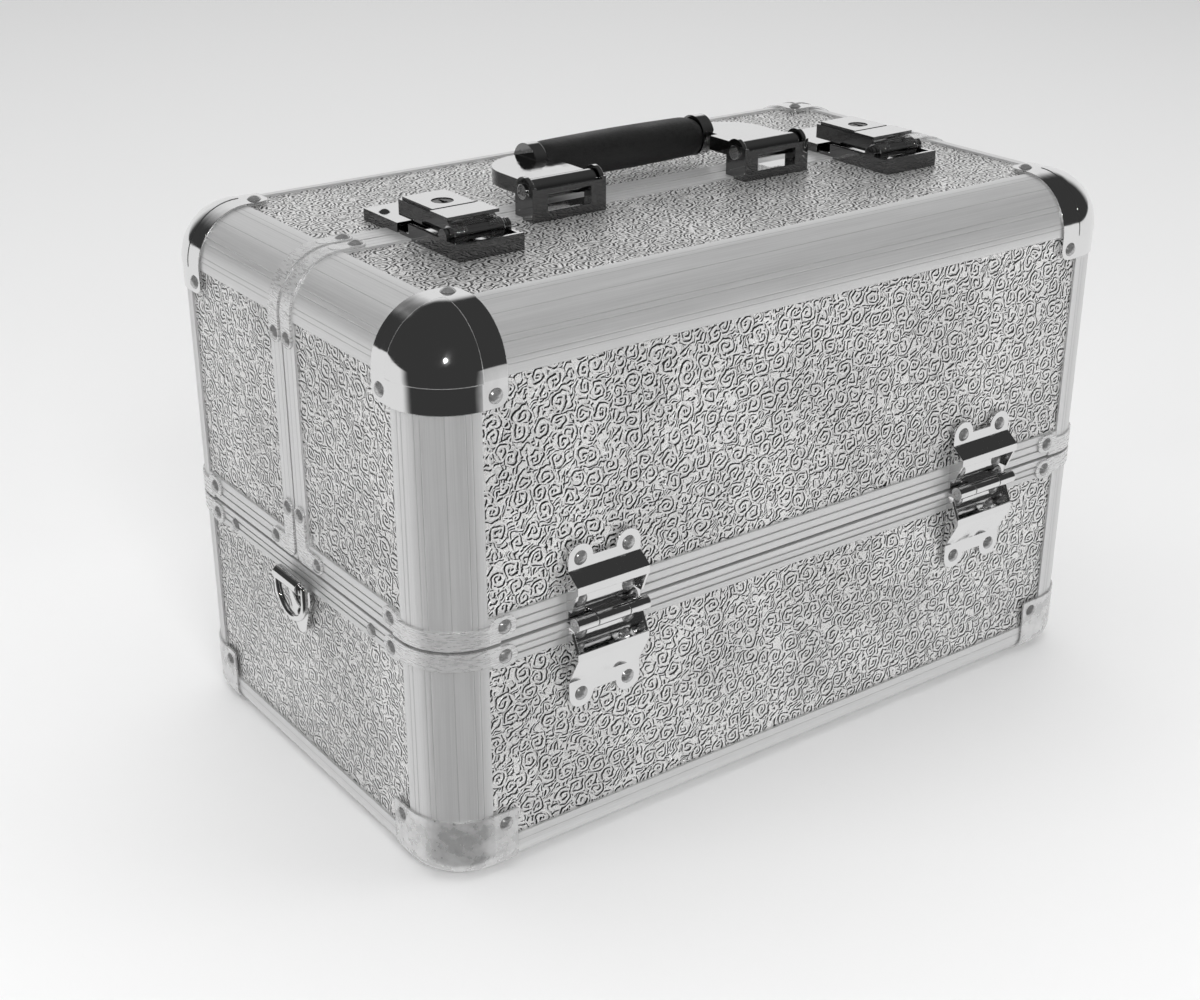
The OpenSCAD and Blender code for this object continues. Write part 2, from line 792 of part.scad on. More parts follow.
// One end of the handle, on the left: a knuckle on the pin, the flat fan and a ferrule
module handle_end() {
    half = bracket_w / 2 - bracket_t - 0.6;
    x0 = -bracket_x - half;
    x1 = -bracket_x + half;
    difference() {
        union() {
            translate([x0, pivot_y, pivot_z]) rotate([0, 90, 0]) cylinder(r = handle_knuckle_r, h = x1 - x0);
            translate([0, 0, pivot_z - fan_t / 2]) linear_extrude(fan_t) fan_2d(x0, x1);
        }
        translate([x0 - 1, pivot_y, pivot_z]) rotate([0, 90, 0])
            cylinder(r = handle_pin_r + running, h = x1 - x0 + 2);
    }
    translate([-grip_half - ferrule_l, grip_y, pivot_z]) rotate([0, 90, 0])
        cylinder(r = ferrule_r, h = ferrule_l + 2);
}

module handle_ends() {
    color(chrome) {
        both_x() handle_end();
        translate([-grip_half, grip_y, pivot_z]) rotate([0, 90, 0])
            cylinder(r = grip_core_r, h = 2 * grip_half);
    }
}

module handle_grip() {
    grip_r = 9;
    flat = 1.5;
    color("black") difference() {
        along_x(-grip_half + 2.2, grip_half - 2.2) translate([grip_y, pivot_z]) {
            translate([-flat, -grip_r]) square([2 * flat, 2 * grip_r]);
            for (s = [-1, 1]) translate([s * flat, 0]) circle(grip_r);
        }
        translate([-grip_half, grip_y, pivot_z]) rotate([0, 90, 0])
            cylinder(r = grip_core_r + running, h = 2 * grip_half);
    }
}

// ---------- latches, drawn about x = 0 ----------

module at_latch(side) translate([side * latch_x, 0, 0]) children();

// The front half: an open box that carries the pin of the hasp
module latch_body() {
    half = latch_w / 2;
    floor_top = case_h + 1.5;
    side_top = case_h + 5.5;
    foot_y = seam_y - 0.1;
    difference() {
        union() {
            block([-half, latch_front, case_h - recess], [half, foot_y, floor_top]);
            block([-half, foot_y, case_h], [half, -seam_gap - 0.4, floor_top]);
            for (x0 = [-half, half - latch_t]) along_x(x0, x0 + latch_t) {
                translate([latch_front, case_h]) square([38, side_top - case_h]);
                translate([hasp_pivot_y, hasp_pivot_z]) circle(2 * hasp_pin_r);
            }
            block([-half, latch_front, case_h], [half, latch_front + latch_t, side_top + 0.4]);
        }
        translate([-half - 1, hasp_pivot_y, hasp_pivot_z]) rotate([0, 90, 0])
            cylinder(r = hasp_pin_r, h = latch_w + 2);
    }
    translate([-half, hasp_pivot_y, hasp_pivot_z]) rotate([0, 90, 0])
        cylinder(r = hasp_pin_r, h = latch_w);
}

module latch_bodies() color(chrome) for (side = [-1, 1]) at_latch(side) latch_body();

// The rear half: a raised plate that the hasp closes over
module latch_strike() {
    half = latch_w / 2;
    front = seam_gap + 0.4;
    sole_top = case_h + 1.2;
    block([-half, front, case_h], [half, -seam_y + 0.1, sole_top]);
    block([-half, -seam_y + 0.1, case_h - recess], [half, latch_rear, sole_top]);
    block([-half, front, strike_top - latch_t], [half, latch_rear, strike_top]);
    for (x0 = [-half, half - latch_t]) block([x0, front, case_h],
        [x0 + latch_t, latch_rear, strike_top]);
    block([-half, latch_rear - latch_t, case_h], [half, latch_rear, strike_top]);
    for (s = [-1, 1]) translate([s * 10.5, 18.5, strike_top]) rivet_head(5.4, 1.3);
}

module latch_strikes() color(chrome) for (side = [-1, 1]) at_latch(side) latch_strike();

// The hasp: a channel on the front pin that reaches back over the seam, with two pads on it
module hasp() {
    difference() {
        union() {
            hasp_channel();
            hasp_front_end();
            block([-hasp_w / 2 - 1, hasp_pivot_y + 1, hasp_top - 0.2],
                [hasp_w / 2 + 1, pad_split, hasp_top + pad_t]);
            block([-hasp_w / 2 + 1, pad_split + pad_gap, hasp_top - 0.2],
                [hasp_w / 2 - 1, hasp_rear - 1.5, hasp_top + pad_t]);
        }
        translate([-latch_w, hasp_pivot_y, hasp_pivot_z]) rotate([0, 90, 0])
            cylinder(r = hasp_pin_r + running, h = 2 * latch_w);
        translate([0, plug_y, hasp_top - 8]) cylinder(r = plug_r + running, h = 12);
    }
}

// A plate with two cheeks and a rear wall
module hasp_channel() {
    half = hasp_w / 2;
    cheek_z = hasp_top - 6.4;
    block([-half, hasp_front, hasp_top - latch_t], [half, hasp_rear, hasp_top]);
    for (x0 = [-half, half - latch_t]) block([x0, hasp_front, cheek_z],
        [x0 + latch_t, hasp_rear, hasp_top]);
    block([-half, hasp_rear - latch_t, hasp_top - 5], [half, hasp_rear, hasp_top]);
}

// The barrel on the pin, the bend up to the plate and a finger lip
module hasp_front_end() {
    half = hasp_w / 2;
    barrel_half = latch_w / 2 - latch_t - 0.4;
    translate([-barrel_half, hasp_pivot_y, hasp_pivot_z]) rotate([0, 90, 0])
        cylinder(r = hasp_barrel_r, h = 2 * barrel_half);
    along_x(-half, half) {
        bar_2d([hasp_pivot_y, hasp_pivot_z + 2.2], [hasp_pivot_y + 4.2, hasp_top - 0.8], latch_t);
        bar_2d([hasp_pivot_y, hasp_pivot_z + 2.2], [hasp_pivot_y - 3.8, hasp_pivot_z + 0.8], 1);
    }
}

module left_hasp() color(chrome) at_latch(-1) hasp();
module right_hasp() color(chrome) at_latch(1) hasp();

// The key plug: a disc with a keyway, turning in the hasp
module key_plug() {
    foot_z = hasp_top - 4.6;
    slot_z = hasp_top - 1.5;
    keyway = [1.2, 5.2];
    translate([0, plug_y, 0]) difference() {
        union() {
            translate([0, 0, foot_z]) cylinder(r = plug_r, h = hasp_top + pad_t - 0.3 - foot_z);
            translate([0, 0, foot_z]) cylinder(r = plug_r + 1.2, h = 2.4);
        }
        translate([-keyway[0] / 2, -keyway[1] / 2, slot_z]) cube([keyway[0], keyway[1], 4]);
        translate([0, -1.6, slot_z]) cylinder(r = 1.3, h = 4);
    }
}

module left_key_plug() color("gray") at_latch(-1) key_plug();
module right_key_plug() color("gray") at_latch(1) key_plug();

// ---------- trays and arms, drawn on the front side ----------

function pivot(y, k) = [y + k * arm_run, arm_z + k * arm_rise];

module arm_post(y) {
    wall_x = half_w - lining_face;
    translate([-wall_x, y, arm_z]) rotate([0, 90, 0]) {
        cylinder(r = 5, h = wall_x - arm_x - arm_t - 0.3);
        cylinder(r = arm_pin_r, h = wall_x - arm_x + 0.2);
    }
}

// The space inside the lining, seen from above
module liner_outline() {
    r = edge_r - lining_face;
    square([2 * flat_x, 2 * (flat_y + r)], center = true);
    square([2 * (flat_x + r), 2 * flat_y], center = true);
    both_x() both_y() translate([flat_x, flat_y]) circle(r);
}

module arm_posts() {
    color("darkgray") intersection() {
        both_x() both_y() {
            arm_post(inner_arm_y);
            arm_post(outer_arm_y);
        }
        translate([0, 0, arm_z - arm_w]) linear_extrude(2 * arm_w) liner_outline();
    }
}

module arm_pair(y, tray_play) {
    color(aluminium) both_x() difference() {
        along_x(-arm_x - arm_t, -arm_x) bar_2d(pivot(y, 0), pivot(y, 2), arm_w);
        for (k = [0 : 2]) {
            place = pivot(y, k);
            translate([-arm_x - arm_t - 1, place[0], place[1]]) rotate([0, 90, 0])
                cylinder(r = arm_pin_r + (k == 0 ? running : tray_play), h = arm_t + 2);
        }
    }
}

module front_inner_arms() arm_pair(inner_arm_y, running);
module front_outer_arms() arm_pair(outer_arm_y, loose);
module rear_inner_arms() rear() arm_pair(inner_arm_y, running);
module rear_outer_arms() rear() arm_pair(outer_arm_y, loose);

// A tray's outline seen from above, drawn in from its outside by a distance
module tray_outline(inset) {
    r = tray_corner_r - inset;
    long = [tray_half - inset, (tray_inner - tray_outer) / 2 - inset];
    translate([0, (tray_inner + tray_outer) / 2]) {
        square([2 * long[0], 2 * (long[1] - r)], center = true);
        square([2 * (long[0] - r), 2 * long[1]], center = true);
        both_x() both_y() translate([long[0] - r, long[1] - r]) circle(r);
    }
}

// An open tray with cross ribs and a stud for each arm at both ends; level is 1 or 2
module tray(level) {
    z0 = tray_z + (level - 1) * arm_rise;
    rib_t = 2;
    lip = 1.5;
    color(black) {
        difference() {
            translate([0, 0, z0]) linear_extrude(tray_h) tray_outline(0);
            translate([0, 0, z0 + tray_t]) linear_extrude(tray_h) tray_outline(tray_t);
        }
        for (k = [-1 : 1]) block([k * tray_half / 2 - rib_t / 2, tray_outer + lip, z0 + tray_t - 0.5],
            [k * tray_half / 2 + rib_t / 2, tray_inner - lip, z0 + tray_h - 8]);
    }
    color("darkgray") both_x() for (y = [inner_arm_y, outer_arm_y]) {
        place = pivot(y, level);
        translate([-arm_x - arm_t - 0.4, place[0], place[1]]) rotate([0, 90, 0])
            cylinder(r = arm_pin_r, h = arm_x + arm_t + 0.4 - tray_half + 1);
        translate([-arm_x + 0.3, place[0], place[1]]) rotate([0, 90, 0])
            cylinder(r = 4, h = arm_x - 0.3 - tray_half + 1);
    }
}

module front_lower_tray() tray(1);
module front_upper_tray() tray(2);
module rear_lower_tray() rear() tray(1);
module rear_upper_tray() rear() tray(2);

base_bottom_panel();
base_long_panels();
base_end_panels();
base_bottom_rails();
base_rim_rails();
base_corner_posts();
base_bottom_caps();
base_rim_brackets();
base_lining();
base_rivets();
d_ring_plates();
left_d_ring();
right_d_ring();
hinge_lower_leaves();
hinge_pins();
arm_posts();
front_lid_wall_panel();
front_lid_end_panels();
front_lid_top_panel();
front_lid_top_rail();
front_lid_end_rails();
front_lid_posts();
front_lid_corner_caps();
front_lid_rim_rails();
front_lid_seam_rails();
front_lid_brackets();
front_lid_lining();
front_lid_rivets();
front_hinge_leaves();
rear_lid_wall_panel();
rear_lid_end_panels();
rear_lid_top_panel();
rear_lid_top_rail();
rear_lid_end_rails();
rear_lid_posts();
rear_lid_corner_caps();
rear_lid_rim_rails();
rear_lid_seam_rails();
rear_lid_brackets();
rear_lid_lining();
rear_lid_rivets();
rear_hinge_leaves();
handle_brackets();
handle_pins();
handle_ends();
handle_grip();
latch_bodies();
latch_strikes();
left_hasp();
right_hasp();
left_key_plug();
right_key_plug();
front_inner_arms();
front_outer_arms();
rear_inner_arms();
rear_outer_arms();
front_lower_tray();
front_upper_tray();
rear_lower_tray();
rear_upper_tray();
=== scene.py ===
"""An aluminium train case: the looks of its foil boards, extrusions, chrome and lining."""
import math

import bmesh
import bpy
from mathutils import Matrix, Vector


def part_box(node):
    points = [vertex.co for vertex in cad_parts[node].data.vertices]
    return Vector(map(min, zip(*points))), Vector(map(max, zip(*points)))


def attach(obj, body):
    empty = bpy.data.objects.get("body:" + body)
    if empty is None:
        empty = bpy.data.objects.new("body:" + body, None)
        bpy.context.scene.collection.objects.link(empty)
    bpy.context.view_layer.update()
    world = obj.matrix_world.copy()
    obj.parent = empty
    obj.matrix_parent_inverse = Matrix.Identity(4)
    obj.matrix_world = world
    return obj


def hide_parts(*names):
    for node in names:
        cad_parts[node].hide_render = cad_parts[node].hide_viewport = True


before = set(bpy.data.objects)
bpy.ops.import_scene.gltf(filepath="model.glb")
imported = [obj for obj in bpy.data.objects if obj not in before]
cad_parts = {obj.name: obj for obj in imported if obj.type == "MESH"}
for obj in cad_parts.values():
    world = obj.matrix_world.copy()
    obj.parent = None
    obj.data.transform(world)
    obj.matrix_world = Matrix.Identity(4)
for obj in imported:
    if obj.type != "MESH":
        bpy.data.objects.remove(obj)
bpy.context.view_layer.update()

MM = 0.001

# Places on the case that the materials and the added pieces follow, in metres
HALF_W = 0.1825
HALF_D = 0.1075
TOP_Z = 0.235
EDGE_R = 0.024
FLAT_X = HALF_W - EDGE_R
FLAT_Y = HALF_D - EDGE_R
RAIL_Z = TOP_Z - EDGE_R
TRAY_HALF = 0.164
LATCH_X = 0.113
HASP_PIVOT_Y = -0.034
HASP_PIVOT_Z = TOP_Z + 0.0065


# ---------- material building ----------

class Nodes:
    """One material's node tree, with short calls for the nodes that the finishes are made of."""

    def __init__(self, name):
        self.material = bpy.data.materials.new(name)
        self.material.use_nodes = True
        self.tree = self.material.node_tree
        self.shader = self.tree.nodes["Principled BSDF"]

    @classmethod
    def on_tree(cls, tree):
        """The same calls for a tree that isn't a material's."""
        n = cls.__new__(cls)
        n.tree = tree
        return n

    def put(self, socket, value):
        if isinstance(value, bpy.types.NodeSocket):
            self.tree.links.new(value, socket)
        else:
            socket.default_value = value

    def add(self, kind, inputs=(), out=0, **settings):
        node = self.tree.nodes.new(kind)
        for key, value in settings.items():
            setattr(node, key, value)
        for key, value in dict(inputs).items():
            self.put(node.inputs[key], value)
        return node.outputs[out]

    def set(self, **inputs):
        for key, value in inputs.items():
            self.put(self.shader.inputs[key.replace("_", " ")], value)

    def math(self, operation, a, b=0.0):
        return self.add("ShaderNodeMath", {0: a, 1: b}, operation=operation)

    def vector(self, operation, a, b=(0, 0, 0), out=0):
        return self.add("ShaderNodeVectorMath", {0: a, 1: b}, out=out, operation=operation)

    def scaled(self, a, factor):
        return self.add("ShaderNodeVectorMath", {0: a, "Scale": factor}, operation="SCALE")

    def ramp(self, value, low, high, to_low=0.0, to_high=1.0):
        """An eased rise (or fall) from to_low at low to to_high at high."""
        return self.add("ShaderNodeMapRange", {0: value, 1: low, 2: high, 3: to_low, 4: to_high},
                        interpolation_type="SMOOTHSTEP")

    def mix(self, factor, a, b):
        node = self.tree.nodes.new("ShaderNodeMix")
        node.data_type = "RGBA"
        self.put(node.inputs["Factor"], factor)
        self.put(node.inputs["A"], a)
        self.put(node.inputs["B"], b)
        return node.outputs["Result"]

    def place(self):
        """Where a point is on the case at rest, in millimetres."""
        return self.scaled(self.add("ShaderNodeTexCoord", out="Object"), 1 / MM)

    def parts(self, vector):
        node = self.tree.nodes.new("ShaderNodeSeparateXYZ")
        self.put(node.inputs[0], vector)
        return node.outputs

    def join(self, x, y, z=0.0):
        return self.add("ShaderNodeCombineXYZ", {0: x, 1: y, 2: z})

    def noise(self, vector, scale, detail=2.0, rough=0.5, flat=False):
        return self.add("ShaderNodeTexNoise", {"Vector": vector, "Scale": scale, "Detail": detail,
                                               "Roughness": rough},
                        noise_dimensions="2D" if flat else "3D")

    def bump(self, height, depth, strength=1.0, normal=None):
        inputs = {"Strength": strength, "Distance": depth * MM, "Height": height}
        if normal is not None:
            inputs["Normal"] = normal
        return self.add("ShaderNodeBump", inputs)

    def soft_edges(self, radius):
        return self.add("ShaderNodeBevel", {"Radius": radius * MM}, samples=4)


def grey(value, warm=0.0):
    """A grey, or a slightly warm one."""
    return (value * (1 + warm), value, value * (1 - warm), 1.0)


# ---------- the embossed foil ----------

CURL_SIZE = 9.0       # mm between the middles of neighbouring curls
CURL_REACH = 4.7      # mm, the largest curl's radius
CURL_PITCH = 2.15     # mm between the turns of a curl
STROKE_PITCH = 2.45   # mm between the strokes that fill in around the curls
STROKE_ACROSS = (0.80, -0.60, 0.0)  # the direction across the strokes
STROKE_SWAY = 5.0     # how many strokes' pitches they sway by
RIDGE_WIDTH = 0.34    # half a ridge's foot, as a share of the pitch
WANDER = 3.0          # mm that the whole pattern is pulled about
FINE_SHARE = 0.35     # the fine grain's height beside a ridge's
RELIEF = 0.34         # mm from groove to ridge
EMBOSS_STEP = 0.50    # mm to the point beside, which tells a slope's side for the painted shade and painted highlight
PAINTED_SHADE_SLOPE = (0.04, 0.28)    # painted shade: slopes between here and there go from clear to fully dark
PAINTED_HIGHLIGHT_SLOPE = (-0.08, -0.42)   # painted highlight: slopes facing the other way go between here and there from plain to fully bright


def ridge(n, phase, width):
    """A ridge along the middle of every turn of phase, as wide to each side as width."""
    middle = n.math("ABSOLUTE", n.math("SUBTRACT", n.math("FRACT", phase), 0.5))
    return n.ramp(middle, width, width * 0.25)


def curls(n, p):
    """Spiral ridges, one about the middle of each cell, and where they reach: 1 inside."""
    cells = n.tree.nodes.new("ShaderNodeTexVoronoi")
    cells.voronoi_dimensions = "2D"
    n.put(cells.inputs["Vector"], p)
    n.put(cells.inputs["Scale"], 1 / CURL_SIZE)
    n.put(cells.inputs["Randomness"], 0.85)
    from_middle = n.vector("SUBTRACT", p, cells.outputs["Position"])
    dx, dy, _ = n.parts(from_middle)
    radius = n.vector("LENGTH", from_middle, out="Value")
    turn = n.math("DIVIDE", n.math("ARCTAN2", dy, dx), 2 * math.pi)
    chance = n.parts(cells.outputs["Color"])
    side = n.math("SUBTRACT", n.math("MULTIPLY", n.math("GREATER_THAN", chance[0], 0.5), 2.0), 1.0)
    phase = n.math("ADD", n.math("DIVIDE", radius, CURL_PITCH), n.math("MULTIPLY", turn, side))
    curl = ridge(n, n.math("ADD", phase, chance[1]), RIDGE_WIDTH)
    reach = n.math("MULTIPLY", n.ramp(chance[2], 0.05, 0.40, 0.45, 1.0), CURL_REACH)
    inside = n.ramp(n.math("SUBTRACT", radius, reach), 0.25, -0.25)
    return curl, inside


def strokes(n, p):
    """Slanting ridges that sway a little."""
    sway = n.noise(n.vector("ADD", p, (31.0, 17.0, 0.0)), 0.15, 1.0, flat=True)
    across = tuple(part / STROKE_PITCH for part in STROKE_ACROSS)
    slant = n.vector("DOT_PRODUCT", p, across, out="Value")
    return ridge(n, n.math("ADD", slant, n.math("MULTIPLY", sway, STROKE_SWAY)), RIDGE_WIDTH)


def scroll_group():
    """A node group: the height of the embossed scrollwork at a flat point in millimetres."""
    tree = bpy.data.node_groups.new("scrollwork", "ShaderNodeTree")
    tree.interface.new_socket("Point", in_out="INPUT", socket_type="NodeSocketVector")
    tree.interface.new_socket("Height", in_out="OUTPUT", socket_type="NodeSocketFloat")
    n = Nodes.on_tree(tree)
    point = tree.nodes.new("NodeGroupInput").outputs[0]
    wander = n.add("ShaderNodeTexNoise", {"Vector": point, "Scale": 0.22, "Detail": 1.0},
                   out="Color", noise_dimensions="2D")
    wander = n.scaled(n.vector("SUBTRACT", wander, (0.5, 0.5, 0.5)), WANDER)
    p = n.vector("ADD", point, wander)
    curl, inside = curls(n, p)
    stroke = strokes(n, p)
    # the ridges break off here and there
    gaps = n.noise(n.vector("ADD", p, (5.0, 71.0, 0.0)), 0.42, 1.0, flat=True)
    stroke = n.math("MULTIPLY", stroke, n.ramp(gaps, 0.38, 0.46))
    curl = n.math("MULTIPLY", curl, n.ramp(gaps, 0.25, 0.33))
    line = n.add("ShaderNodeMix", {"Factor": inside, "A": stroke, "B": curl})
    fine = n.noise(point, 1.3, 2.0, flat=True)
    height = n.math("ADD", line, n.math("MULTIPLY", fine, FINE_SHARE))
    out = tree.nodes.new("NodeGroupOutput")
    tree.links.new(height, out.inputs[0])
    return tree


def foil(name, across, up, shift, tone, dark, scrolls):
    """Silver foil over board; across and up name the axes of its face. The embossed slopes facing
    one fixed side get painted shade in the tone dark, and those facing the other side get a
    painted highlight.
    """
    n = Nodes(name)
    xyz = n.parts(n.place())
    point = n.vector("ADD", n.join(xyz["XYZ".index(across)], xyz["XYZ".index(up)]), shift)

    def height(at):
        node = n.tree.nodes.new("ShaderNodeGroup")
        node.node_tree = scrolls
        n.put(node.inputs[0], at)
        return node.outputs[0]

    here = height(point)
    beside = height(n.vector("ADD", point, (EMBOSS_STEP, -EMBOSS_STEP, 0.0)))
    # painted shade and painted highlight: the height here minus the height a step aside tells
    # which way a slope faces
    relief = n.math("SUBTRACT", here, beside)
    painted_shade = n.ramp(relief, *PAINTED_SHADE_SLOPE)
    painted_highlight = n.ramp(relief, *PAINTED_HIGHLIGHT_SLOPE)
    cloud = n.ramp(n.noise(point, 0.02, 2.0, flat=True), 0.35, 0.65, 0.92, 1.06)
    # painted shade darkens the slopes facing away from the fixed side
    base = n.mix(painted_shade, grey(tone, 0.008), grey(dark))
    # painted highlight brightens the slopes facing the other way
    base = n.mix(n.math("MULTIPLY", painted_highlight, 0.8), base, grey(0.97))
    base = n.vector("MULTIPLY", base, n.join(cloud, cloud, cloud))
    n.set(Base_Color=base, Metallic=0.55, IOR=1.5,
          Roughness=n.math("ADD", n.math("MULTIPLY", here, 0.10), 0.26),
          Normal=n.bump(here, RELIEF, 0.9))
    return n.material


# ---------- metals ----------

# Where fine lines are drawn along each kind of rail, in mm across its face
ROUND_RAIL_LINES = (4.0, 6.2, 12.0, 14.4, 23.5, 31.2, 33.6)
FLAT_RAIL_LINES = (5.0, 11.5, 97.0, 100.6, 108.0, 112.0)
SEAM_RAIL_LINES = (-7.0, -3.2, 3.2, 7.0)
LINE_WIDTH = 0.28


def around(first, second, c1, c2):
    """How to measure across a rounded rail: mm of arc about its centre line at c1, c2."""
    def measure(n, xyz):
        a = n.math("SUBTRACT", n.math("ABSOLUTE", xyz["XYZ".index(first)]), c1 / MM)
        b = xyz["XYZ".index(second)]
        if second == "Y":
            b = n.math("ABSOLUTE", b)
        b = n.math("SUBTRACT", b, c2 / MM)
        return n.math("MULTIPLY", n.math("ARCTAN2", b, a), EDGE_R / MM)

    return measure


def straight(axis):
    """How to measure across a flat rail: mm along one axis."""
    return lambda n, xyz: xyz["XYZ".index(axis)]


def grooves(n, across, places, width):
    """Shallow lines of the given width at these places across a rail: 1 on a line."""
    total = None
    for place in places:
        near = n.math("ABSOLUTE", n.math("SUBTRACT", across, place))
        line = n.ramp(near, width, width * 0.3)
        total = line if total is None else n.math("MAXIMUM", total, line)
    return total


def aluminium(name, along, across_of, lines):
    """Anodised extrusion: streaks along one axis and fine drawn lines at places across it."""
    n = Nodes(name)
    place = n.place()
    xyz = n.parts(place)
    across = across_of(n, xyz)
    run = xyz["XYZ".index(along)]
    streak_point = n.join(across, n.math("MULTIPLY", run, 0.012))
    streak = n.noise(streak_point, 1.6, 3.0, 0.6, flat=True)
    broad = n.noise(n.join(across, n.math("MULTIPLY", run, 0.01)), 0.14, 2.0, flat=True)
    grain = n.noise(place, 4.0, 2.0)
    line = grooves(n, across, lines, LINE_WIDTH)
    tone = n.ramp(n.math("ADD", n.math("MULTIPLY", streak, 0.5), n.math("MULTIPLY", broad, 0.5)),
                  0.32, 0.68, 0.0, 1.0)
    base = n.mix(tone, grey(0.66), grey(0.75))
    base = n.mix(n.math("MULTIPLY", line, 0.5), base, grey(0.40))
    height = n.math("SUBTRACT", n.math("ADD", n.math("MULTIPLY", streak, 0.10),
                                       n.math("MULTIPLY", grain, 0.05)), line)
    n.set(Base_Color=base, Metallic=0.55, IOR=1.5,
          Roughness=n.ramp(streak, 0.3, 0.7, 0.30, 0.42),
          Normal=n.bump(height, 0.12, 0.6, n.soft_edges(0.5)))
    return n.material


def chrome(name):
    """Bright chrome with faint smudges and a slightly wavy face."""
    n = Nodes(name)
    place = n.place()
    smudge = n.noise(place, 0.09, 4.0, 0.6)
    wave = n.noise(place, 0.16, 1.0)
    n.set(Base_Color=grey(0.86), Metallic=1.0, Roughness=n.ramp(smudge, 0.35, 0.7, 0.04, 0.13),
          Normal=n.bump(wave, 0.10, 0.5, n.soft_edges(0.35)))
    return n.material


def casting(name):
    """Chrome castings of the latches and the handle, with painted shade and painted reflections:
    faces turned sideways are painted dark, and faces turned up or down are painted bright.
    """
    n = Nodes(name)
    place = n.place()
    # painted shade and highlight: how far a face turns up or down sets how bright it is painted
    up = n.math("ABSOLUTE", n.parts(n.add("ShaderNodeTexCoord", out="Normal"))["Z"])
    smudge = n.noise(place, 0.12, 3.0, 0.6)
    # painted shade on sideways faces, painted highlight on faces turned up or down
    n.set(Base_Color=n.mix(n.ramp(up, 0.15, 0.75), grey(0.20), grey(0.84)), Metallic=1.0,
          Roughness=n.ramp(smudge, 0.35, 0.7, 0.05, 0.14),
          Normal=n.bump(n.noise(place, 0.2, 1.0), 0.08, 0.5, n.soft_edges(0.35)))
    return n.material


def zinc(name):
    """Blotchy cast zinc, dull and bright by turns."""
    n = Nodes(name)
    place = n.place()
    blotch = n.noise(place, 0.12, 3.0, 0.6)
    pits = n.noise(place, 0.9, 2.0, 0.5)
    base = n.mix(n.ramp(blotch, 0.35, 0.68), grey(0.56), grey(0.80))
    n.set(Base_Color=base, Metallic=0.62, IOR=1.5,
          Roughness=n.ramp(blotch, 0.3, 0.7, 0.20, 0.38),
          Normal=n.bump(n.math("ADD", blotch, n.math("MULTIPLY", pits, 0.06)), 0.4, 0.4,
                        n.soft_edges(0.6)))
    return n.material


def steel(name, tone, rough, metallic=0.95):
    """Satin or brushed steel, a little darker in patches."""
    n = Nodes(name)
    place = n.place()
    brushed = n.noise(n.vector("MULTIPLY", place, (0.4, 0.4, 2.5)), 0.7, 2.0, 0.5)
    base = n.mix(n.ramp(brushed, 0.3, 0.7), grey(tone * 0.8), grey(tone))
    n.set(Base_Color=base, Metallic=metallic,
          Roughness=n.ramp(brushed, 0.3, 0.7, rough, rough + 0.12),
          Normal=n.bump(brushed, 0.05, 0.4, n.soft_edges(0.3)))
    return n.material


# ---------- rubber, lining and plastic ----------

def grained(name, tone, rough, cell, depth):
    """Black rubber or plastic with a fine leather-like grain."""
    n = Nodes(name)
    place = n.place()
    cells = n.add("ShaderNodeTexVoronoi", {"Vector": place, "Scale": 1 / cell},
                  feature="DISTANCE_TO_EDGE")
    pebble = n.ramp(cells, 0.02, 0.22)
    dull = n.noise(place, 0.06, 3.0, 0.6)
    base = n.mix(pebble, grey(tone * 0.55), grey(tone))
    n.set(Base_Color=base, IOR=1.5, Roughness=n.ramp(dull, 0.3, 0.7, rough, rough + 0.12),
          Normal=n.bump(pebble, depth, 0.7))
    return n.material


def flock(name):
    """Black flocked lining with a short nap."""
    n = Nodes(name)
    place = n.place()
    fibre = n.noise(place, 2.6, 4.0, 0.75)
    nap = n.noise(place, 0.03, 3.0, 0.6)
    base = n.mix(n.ramp(fibre, 0.35, 0.65), grey(0.006), grey(0.028))
    base = n.mix(n.ramp(nap, 0.4, 0.7, 0.0, 0.4), base, grey(0.035))
    n.set(Base_Color=base, IOR=1.4, Roughness=0.92, Normal=n.bump(fibre, 0.25, 0.8))
    n.shader.inputs["Sheen Weight"].default_value = 0.25
    n.shader.inputs["Sheen Roughness"].default_value = 0.5
    return n.material


def make_materials():
    scrolls = scroll_group()
    post = around("X", "Y", FLAT_X, FLAT_Y)
    long_top = around("Y", "Z", FLAT_Y, RAIL_Z)
    end_top = around("X", "Z", FLAT_X, RAIL_Z)
    return {
        "foil_long": foil("foil_long", "X", "Z", (3.0, 5.0, 0.0), 0.80, 0.008, scrolls),
        "foil_end": foil("foil_end", "Y", "Z", (61.0, 42.0, 0.0), 0.76, 0.05, scrolls),
        "foil_top": foil("foil_top", "X", "Y", (17.0, 83.0, 0.0), 0.74, 0.05, scrolls),
        "post": aluminium("aluminium_post", "Z", post, ROUND_RAIL_LINES),
        "top_rail": aluminium("aluminium_top_rail", "X", long_top, ROUND_RAIL_LINES),
        "end_rail": aluminium("aluminium_end_rail", "Y", end_top, ROUND_RAIL_LINES),
        "flat_rail": aluminium("aluminium_flat_rail", "X", straight("Z"), FLAT_RAIL_LINES),
        "seam_rail": aluminium("aluminium_seam_rail", "X", straight("Y"), SEAM_RAIL_LINES),
        "chrome": chrome("chrome"),
        "zinc": zinc("zinc"),
        "casting": casting("casting"),
        "bracket": steel("bracket_steel", 0.74, 0.24, 0.50),
        "rivet": steel("rivet_steel", 0.56, 0.16, 0.72),
        "plug": steel("plug_steel", 0.10, 0.22),
        "rubber": grained("grip_rubber", 0.018, 0.36, 0.9, 0.10),
        "flock": flock("flocked_lining"),
        "tray": grained("tray_plastic", 0.020, 0.40, 0.55, 0.06),
        "arm": steel("arm_steel", 0.66, 0.28),
    }


